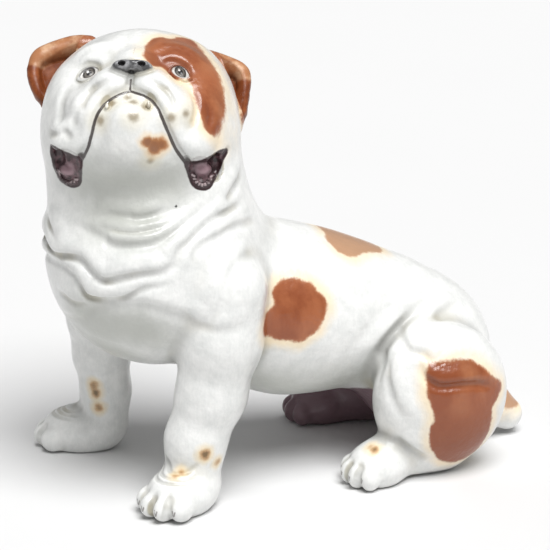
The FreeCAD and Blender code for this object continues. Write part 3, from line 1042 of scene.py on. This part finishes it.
def paint(clay, base, points, normals):
    """What the brush left, as one number per vertex for each kind of mark."""
    local = (points - HEAD_AT) @ HEAD_AXES.T
    on_head = neck_offset(points) > -4
    marks = paint_patches(points, local, on_head)
    marks.update(paint_pockets(points, on_head))
    marks.update(paint_eye_places(local))
    for mark, spots in (("orange", HEAD_SPOTS), ("freckle", HEAD_FRECKLES), ("speck", SPECKS)):
        landed = face_line(clay, [place for place, _ in spots])
        marks[mark] = spot_distance(points, list(zip(landed, [radius for _, radius in spots])))
    marks["rust"] = spot_distance(points, LEG_SPOTS)
    marks["shade"] = line_distance(points, SHADE, 30.0)
    marks["roll"] = line_distance(points, ear_lines("fold", EARS["ear_right"]["depth"] + 1.5))
    marks["root"] = line_distance(points, ear_lines("root", -9))
    # umber paint on the far hind leg, and painted shade under the belly between the hind legs
    umber_and_shade = [np.linalg.norm((points - np.array(centre)) / np.array(radii), axis=1)
             for centre, radii in UMBER_AND_SHADE]
    marks["umber_and_shade"] = 20 * (np.minimum(*umber_and_shade) - 1)
    marks["mouth"] = paint_lips(clay, base, points)
    marks["fang"] = spot_distance(points, [(gum - 1.6 * HEAD_AXES[1] + 0.2 * HEAD_AXES[2], 0.5)
                                           for gum in face_line(base, FANGS)])
    marks["claw"] = line_distance(points, claw_lines(clay))
    centre, radii = NOSE
    marks["nose"] = np.linalg.norm((local - np.array(centre)) / np.array(radii), axis=1) - 1
    for mark, probe in (("crease", 2.0), ("hollow", 7.0)):
        marks[mark] = 1 - clay.at(points + normals * probe) / probe
    return marks


# ==== BLENDER ==================================================================
def make_piece(name, vertices, normals, triangles, hubs, marks):
    """One closed mesh object with its painted marks; hubs marks the vertices that caps run to."""
    used, index = np.unique(triangles, return_inverse=True)
    faces = index.reshape(-1, 3)
    mesh = bpy.data.meshes.new(name)
    mesh.vertices.add(len(used))
    mesh.vertices.foreach_set("co", ((vertices[used] + DATUM) * MM).astype(np.float32).ravel())
    mesh.loops.add(faces.size)
    mesh.loops.foreach_set("vertex_index", faces.ravel().astype(np.int32))
    mesh.polygons.add(len(faces))
    mesh.polygons.foreach_set("loop_start", np.arange(0, faces.size, 3, dtype=np.int32))
    mesh.update()
    mesh.validate()
    for mark, values in marks.items():
        layer = mesh.attributes.new(mark, "FLOAT", "POINT")
        layer.data.foreach_set("value", values[used].astype(np.float32))
    corner = vertices[triangles]
    flat = np.cross(corner[:, 1] - corner[:, 0], corner[:, 2] - corner[:, 0])
    flat /= np.maximum(np.linalg.norm(flat, axis=1, keepdims=True), 1e-12)
    cap = hubs[triangles].any(1)
    loop_normals = np.where(cap[:, None, None], flat[:, None, :], normals[triangles])
    mesh.polygons.foreach_set("use_smooth", np.ones(len(faces), bool))
    mesh.normals_split_custom_set(loop_normals.reshape(-1, 3))
    piece = bpy.data.objects.new(name, mesh)
    bpy.context.scene.collection.objects.link(piece)
    return piece


class Graph:
    """Lays out the nodes of one material."""

    def __init__(self, name):
        self.material = bpy.data.materials.new(name)
        self.material.use_nodes = True
        self.tree = self.material.node_tree
        self.tree.nodes.clear()
        self.shader = self._node("BsdfPrincipled")
        self._put(self._node("OutputMaterial").inputs["Surface"], self.shader.outputs[0])
        self.place = self._node("TexCoord").outputs["Object"]

    def _put(self, socket, value):
        if isinstance(value, bpy.types.NodeSocket):
            self.tree.links.new(value, socket)
        elif isinstance(value, (tuple, list)) and len(value) == 3 and socket.type == "RGBA":
            socket.default_value = (*value, 1.0)
        else:
            socket.default_value = value

    def set(self, name, value):
        self._put(self.shader.inputs[name], value)

    def _node(self, kind, **settings):
        node = self.tree.nodes.new("ShaderNode" + kind)
        for name, value in settings.items():
            setattr(node, name, value)
        return node

    def mark(self, name):
        return self._node("Attribute", attribute_name=name).outputs["Fac"]

    def math(self, operation, *values):
        node = self._node("Math", operation=operation)
        for socket, value in zip(node.inputs, values):
            self._put(socket, value)
        return node.outputs[0]

    def band(self, value, start, end):
        """0 at start and 1 at end, eased."""
        node = self._node("MapRange", interpolation_type="SMOOTHSTEP")
        for socket, v in zip(node.inputs, (value, start, end, 0.0, 1.0)):
            self._put(socket, v)
        return node.outputs[0]

    def mix(self, factor, first, second):
        node = self._node("Mix", data_type="RGBA")
        for i, value in ((0, factor), (6, first), (7, second)):
            self._put(node.inputs[i], value)
        return node.outputs[2]

    def noise(self, scale, detail=3.0, roughness=0.5, stretch=None):
        node = self._node("TexNoise")
        place = self.place
        if stretch:
            turn = self._node("Mapping")
            turn.inputs["Scale"].default_value = stretch
            self._put(turn.inputs["Vector"], place)
            place = turn.outputs[0]
        for name, value in (("Vector", place), ("Scale", scale), ("Detail", detail),
                            ("Roughness", roughness)):
            self._put(node.inputs[name], value)
        return node.outputs["Fac"]

    def centred(self, noise, size):
        return self.math("MULTIPLY", self.math("SUBTRACT", noise, 0.5), size)

    def ragged(self, name, scale, detail, size):
        """A painted mark whose edge wanders by up to half of size."""
        return self.math("ADD", self.mark(name), self.centred(self.noise(scale, detail), size))

    def brush(self, under, value, start, end, colour, strength=1.0):
        """A colour laid over another, none where value is at start and full at end."""
        factor = self.band(value, start, end)
        if strength < 1.0:
            factor = self.math("MULTIPLY", factor, strength)
        return self.mix(factor, under, colour)

    def bump(self, height, distance):
        node = self._node("Bump")
        node.inputs["Strength"].default_value = 1.0
        node.inputs["Distance"].default_value = distance
        self._put(node.inputs["Height"], height)
        self._put(self.shader.inputs["Normal"], node.outputs[0])


WHITE = (0.86, 0.86, 0.842)
COOL = (0.70, 0.71, 0.695)
# painted shade: grey for the hollows, and for under the jaw, the chest and the belly
HOLLOW_SHADE_GREY = (0.60, 0.61, 0.59)
SHADE_GREY = (0.45, 0.46, 0.42)
# painted shade: the greys laid along the creases, one of them warmer
CREASE_SHADE = (0.40, 0.40, 0.38)
CREASE_SHADE_WARM = (0.40, 0.37, 0.28)
CREAM = (0.90, 0.72, 0.46)
RUSSET_DARK = (0.25, 0.065, 0.022)
RUSSET = (0.36, 0.115, 0.045)
RUSSET_LIGHT = (0.51, 0.235, 0.115)
RUSSET_THIN = (0.56, 0.36, 0.22)
# umber of the far hind leg, also laid as painted shade under the belly between the hind legs
UMBER_AND_SHADE_PAINT = (0.19, 0.115, 0.135)
INK = (0.030, 0.018, 0.016)
# pairs from the dark of a texture to its light
FLESH = ((0.035, 0.014, 0.017), (0.13, 0.065, 0.075))
LEATHER = ((0.07, 0.07, 0.073), (0.40, 0.40, 0.41))
EAR_RUSSET = ((0.16, 0.036, 0.010), (0.32, 0.092, 0.026))
# painted light: the ear's rolled fold laid lighter, where it faces up
EAR_ROLL_LIT = ((0.46, 0.20, 0.09), (0.68, 0.42, 0.25))
# each disc of an eye: left, up, half width, half height, softness, colour, strength
EYE_DISCS = (
    (0, 0.2, 4.1, 3.0, 0.18, INK, 0.75),
    (0, -0.5, 3.5, 2.2, 0.14, (0.66, 0.64, 0.61), 1.0),
    (0, 0.1, 2.5, 2.4, 0.10, (0.025, 0.022, 0.022), 1.0),
    (0, -0.1, 1.9, 1.9, 0.2, (0.17, 0.155, 0.14), 1.0),
    (0, 0.2, 1.1, 1.1, 0.2, (0.012, 0.010, 0.012), 1.0),
    # the last disc is a painted highlight: a pale glint at the upper left of the iris
    (-0.6, 0.9, 0.5, 0.45, 0.3, (0.85, 0.85, 0.85), 1.0),
)


def russet_colour(g):
    """Brushed iron-red: dark where the colour pooled, light where it was thin."""
    streaks = g.noise(110, 4, 0.6, stretch=(1.0, 0.5, 0.22))
    clouds = g.noise(38, 3)
    tone = g.brush(RUSSET_DARK, streaks, 0.38, 0.62, RUSSET)
    tone = g.brush(tone, clouds, 0.46, 0.30, RUSSET_DARK, 0.6)
    return g.brush(tone, clouds, 0.52, 0.70, RUSSET_LIGHT, 0.35)


def paint_mouth(g, colour):
    """The drawn line of the lips, and dark open corners with a pink tongue and pale teeth."""
    colour = g.brush(colour, g.ragged("mouth", 420, 2, 0.35), 0.4, -0.1, INK, 0.93)
    colour = g.brush(colour, g.mark("fang"), 0.5, 0.0, WHITE)
    edge = g.ragged("pocket", 300, 3, 0.9)
    flesh = g.brush(FLESH[0], g.noise(500, 3), 0.42, 0.62, FLESH[1])
    flesh = g.brush(flesh, g.ragged("tongue", 420, 3, 1.6), 0.6, -1.4, (0.36, 0.23, 0.26))
    flesh = g.brush(flesh, g.ragged("tooth", 600, 2, 0.3), 0.62, 0.25, (0.50, 0.40, 0.41))
    flesh = g.brush(flesh, edge, -1.7, -0.5, (0.035, 0.016, 0.018))
    return g.brush(colour, edge, 0.45, -0.1, flesh)


def paint_nose(g, colour):
    leather = g.brush(LEATHER[0], g.noise(300, 3), 0.38, 0.66, LEATHER[1])
    # painted shade: near black where the nose's leather creases, in the nostrils and the groove
    # down its middle
    leather = g.brush(leather, g.mark("crease"), 0.05, 0.4, (0.012, 0.011, 0.012))
    return g.brush(colour, g.ragged("nose", 350, 3, 0.22), 0.10, -0.06, leather)


def paint_eyes(g, colour):
    across, up = g.mark("eye_across"), g.mark("eye_up")
    in_front = g.band(g.mark("eye_depth"), -3.0, -1.0)
    for left, top, width, height, soft, paint_colour, strength in EYE_DISCS:
        x = g.math("DIVIDE", g.math("SUBTRACT", across, left), width)
        y = g.math("DIVIDE", g.math("SUBTRACT", up, top), height)
        r = g.math("SQRT", g.math("ADD", g.math("MULTIPLY", x, x), g.math("MULTIPLY", y, y)))
        disc = g.math("MULTIPLY", g.band(r, 1 + soft, 1 - soft), in_front)
        colour = g.mix(g.math("MULTIPLY", disc, strength), colour, paint_colour)
    return colour


def paint_patches_over(g, colour, brushed):
    """Russet patches with a cream halo and painted shade in their hollows and low down,
    and umber on the far hind leg that also lays painted shade under the belly.
    """
    patch = g.math("ADD", g.mark("patch"), brushed)
    halo = g.math("MULTIPLY", g.band(patch, 6.5, 0.3), g.band(g.noise(60, 3), 0.1, 0.6))
    colour = g.mix(g.math("MULTIPLY", halo, 0.75), colour, CREAM)
    # painted shade: the russet darkened in hollows
    russet = g.brush(russet_colour(g), g.mark("hollow"), -0.1, 0.5, RUSSET_DARK, 0.5)
    russet = g.brush(russet, patch, -1.6, 0.4, RUSSET_LIGHT, 0.5)
    # painted shade: the russet darker towards the bottom of the patches, not on the tail
    russet = g.brush(russet, g.mark("height"), 52, 24, RUSSET_DARK, 0.75)
    russet = g.mix(g.math("MULTIPLY", g.mark("thin"), 0.7), russet, RUSSET_THIN)
    colour = g.brush(colour, patch, 0.8, -0.7, russet)
    # umber paint on the far hind leg, and painted shade under the belly between the hind legs
    return g.brush(colour, g.math("ADD", g.mark("umber_and_shade"), brushed), 1.5, -1.0, UMBER_AND_SHADE_PAINT)


def paint_spots(g, colour):
    """Spots with a yellow-brown bloom round a dark heart, freckles, and the glaze speck."""
    blot = g.centred(g.noise(330, 3), 2.2)
    rust = g.math("ADD", g.mark("rust"), blot)
    colour = g.brush(colour, rust, 4.2, 0.2, (0.80, 0.62, 0.34), 0.7)
    colour = g.brush(colour, rust, 1.4, -0.4, (0.42, 0.20, 0.06), 0.75)
    colour = g.brush(colour, rust, 0.1, -1.3, (0.13, 0.08, 0.03), 0.85)
    freckle = g.ragged("freckle", 500, 3, 1.6)
    colour = g.brush(colour, freckle, 6.5, 0.0, (0.80, 0.72, 0.52), 0.36)
    colour = g.brush(colour, freckle, 1.2, -1.3, (0.25, 0.19, 0.11), 0.75)
    orange = g.math("ADD", g.mark("orange"), blot)
    colour = g.brush(colour, orange, 3.6, 0.2, (0.82, 0.60, 0.34), 0.6)
    heart = g.brush((0.40, 0.155, 0.04), orange, 0.4, -1.6, (0.22, 0.065, 0.012))
    colour = g.brush(colour, orange, 1.2, -0.6, heart, 0.92)
    return g.brush(colour, g.mark("speck"), 0.3, -0.2, (0.02, 0.02, 0.02))


def white_material():
    g = Graph("white_glaze")
    brushed = g.math("ADD", g.centred(g.noise(150, 4), 3.4), g.centred(g.noise(800, 2), 1.0))
    crease = g.band(g.mark("crease"), 0.04, 0.45)
    hatch = g.centred(g.noise(900, 3, 0.6, stretch=(1.0, 1.0, 0.4)), 0.6)
    mottle = g.math("ADD", g.centred(g.noise(150, 4, 0.6), 1.3), hatch)
    colour = g.brush(WHITE, mottle, -0.45, 0.5, COOL)
    # painted shade: grey laid into the hollows
    colour = g.brush(colour, g.mark("hollow"), 0.05, 0.65, HOLLOW_SHADE_GREY, 0.7)
    # painted shade: darker grey along the creases, warmer in places
    crease_shade = g.brush(CREASE_SHADE, g.noise(45, 3), 0.4, 0.6, CREASE_SHADE_WARM)
    colour = g.mix(g.math("MULTIPLY", crease, 0.9), colour, crease_shade)
    # painted shade: grey under the jaw, the chest and the belly
    shade = g.math("ADD", g.mark("shade"), g.centred(g.noise(55, 4, 0.6), 16))
    colour = g.brush(colour, shade, 22, 2, SHADE_GREY, 0.8)
    colour = paint_patches_over(g, colour, brushed)
    colour = paint_spots(g, colour)
    colour = paint_mouth(g, colour)
    colour = g.brush(colour, g.ragged("claw", 600, 2, 0.5), 0.55, 0.15, (0.08, 0.06, 0.05), 0.75)
    colour = paint_nose(g, colour)
    g.set("Base Color", paint_eyes(g, colour))
    g.set("Roughness", g.math("ADD", 0.28, g.math("MULTIPLY", crease, 0.25)))
    g.set("Specular IOR Level", 0.5)
    g.set("Coat Weight", 0.2)
    g.set("Coat Roughness", 0.16)
    g.set("IOR", 1.5)
    g.bump(g.math("ADD", g.noise(330, 3), g.noise(110, 2)), 0.0003)
    return g.material


def russet_material():
    g = Graph("russet_glaze")
    streaks = g.noise(150, 4, 0.6)
    colour = g.brush(EAR_RUSSET[0], streaks, 0.35, 0.7, EAR_RUSSET[1])
    colour = g.brush(colour, g.ragged("root", 200, 3, 3.0), 6.0, 2.5, (0.42, 0.20, 0.09), 0.8)
    # painted light: the rolled fold along the top of the ear is lighter, as if lit from above
    lit_roll = g.brush(EAR_ROLL_LIT[0], streaks, 0.4, 0.65, EAR_ROLL_LIT[1])
    colour = g.brush(colour, g.ragged("roll", 260, 3, 2.4), 6.2, 4.4, lit_roll)
    # painted shade: darker russet in the ear's creases
    colour = g.brush(colour, g.mark("crease"), 0.0, 0.5, RUSSET_DARK, 0.5)
    # painted shade: the hollow of the ear's flap laid nearly black-brown, and made rougher and less
    # shiny there
    shaded_bowl = g.band(g.mark("hollow"), -0.1, 0.35)
    colour = g.mix(g.math("MULTIPLY", shaded_bowl, 0.6), colour, (0.10, 0.024, 0.007))
    g.set("Base Color", colour)
    g.set("Roughness", g.math("ADD", 0.3, g.math("MULTIPLY", shaded_bowl, 0.5)))
    g.set("Specular IOR Level", g.math("SUBTRACT", 0.42, g.math("MULTIPLY", shaded_bowl, 0.36)))
    g.set("Coat Weight", 0.08)
    g.set("Coat Roughness", 0.2)
    g.set("IOR", 1.5)
    g.bump(g.noise(330, 3), 0.00015)
    return g.material


GRID_LOW, GRID_HIGH = (-80, -125, -4), (80, 125, 215)
GRID_STEP, QUICK_STEP = 1.0, 1.6
CAP_DEPTH = 1.5


def build_figure():
    base, clay = model_figure()
    step = GRID_STEP
    field, axes = clay.grid(GRID_LOW, GRID_HIGH, step)
    vertices, quads = skin_of(field, axes)
    triangles = to_triangles(quads)
    vertices = settle(clay, vertices)

    def fine(points):
        """Where the mesh is refined: on the face and round the paws."""
        local = (points - HEAD_AT) @ HEAD_AXES.T
        face = (local[:, 2] > -2) & (local[:, 1] > -46) & (neck_offset(points) > 2)
        paws = (points[:, 2] < 22) & ((points[:, 1] < -50) | (points[:, 1] < 36)) & (
            np.abs(points[:, 0]) > 22)
        return face | paws

    vertices, triangles = refine(vertices, triangles, fine)
    vertices = settle(clay, vertices, 2)
    whole = len(vertices)
    vertices, parts = part_castings(vertices, triangles)
    hubs = np.zeros(len(vertices), bool)
    hubs[whole:] = clay.at(vertices[whole:]) < -CAP_DEPTH
    normals = clay.slope(vertices)
    normals /= np.maximum(np.linalg.norm(normals, axis=1, keepdims=True), 1e-9)
    marks = paint(clay, base, vertices, normals)
    white, russet = white_material(), russet_material()
    for name, faces in parts.items():
        piece = make_piece(name + "_glazed", vertices, normals, faces, hubs, marks)
        ear = name.startswith("ear")
        piece.data.materials.append(russet if ear else white)
        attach(piece, "root")
        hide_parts(name)
        print(name, len(faces), "triangles")


def plain_material(name, colour, grain):
    g = Graph(name)
    shade = tuple(c * 0.985 for c in colour)
    g.set("Base Color", g.mix(g.noise(grain, 4), colour, shade))
    g.set("Roughness", 0.9)
    return g.material


FLOOR_HALF, FLOOR_DROP = 4.0, 0.0003
FLOOR_GREY = (0.73, 0.73, 0.73)
KEY_ENERGY, KEY_ANGLE = 3.8, math.radians(38)
KEY_FROM = (0.41, 0.05, 0.90)
SKY_STRENGTH = 0.25
CAMERA_TARGET = (0.0343, -0.0218, 0.098)
CAMERA_DISTANCE, VIEW_WIDTH = 1.0, 0.234
SENSOR_WIDTH = 36


def build_stage():
    low, high, z = -FLOOR_HALF, FLOOR_HALF, -FLOOR_DROP
    mesh = bpy.data.meshes.new("floor")
    mesh.from_pydata([(low, low, z), (high, low, z), (high, high, z), (low, high, z)], [],
                     [(0, 1, 2, 3)])
    floor = bpy.data.objects.new("floor", mesh)
    bpy.context.scene.collection.objects.link(floor)
    mesh.materials.append(plain_material("pale_floor", FLOOR_GREY, 6))
    world = bpy.data.worlds.new("studio")
    world.use_nodes = True
    world.node_tree.nodes["Background"].inputs[0].default_value = (1.0, 1.0, 1.0, 1)
    world.node_tree.nodes["Background"].inputs[1].default_value = SKY_STRENGTH
    bpy.context.scene.world = world
    sun = bpy.data.lights.new("key", "SUN")
    sun.energy = KEY_ENERGY
    sun.angle = KEY_ANGLE
    light = bpy.data.objects.new("key", sun)
    light.rotation_euler = Vector(KEY_FROM).to_track_quat("Z", "Y").to_euler()
    bpy.context.scene.collection.objects.link(light)


def build_camera():
    back = Vector(LOOK_AXES[2])
    data = bpy.data.cameras.new("camera")
    data.sensor_width = SENSOR_WIDTH
    data.lens = SENSOR_WIDTH * CAMERA_DISTANCE / VIEW_WIDTH
    data.clip_end = 20
    camera = bpy.data.objects.new("camera", data)
    camera.location = Vector(CAMERA_TARGET) + back * CAMERA_DISTANCE
    camera.rotation_euler = (-back).to_track_quat("-Z", "Y").to_euler()
    bpy.context.scene.collection.objects.link(camera)
    bpy.context.scene.camera = camera


build_figure()
build_stage()
build_camera()
bpy.context.scene.view_settings.view_transform = "Standard"
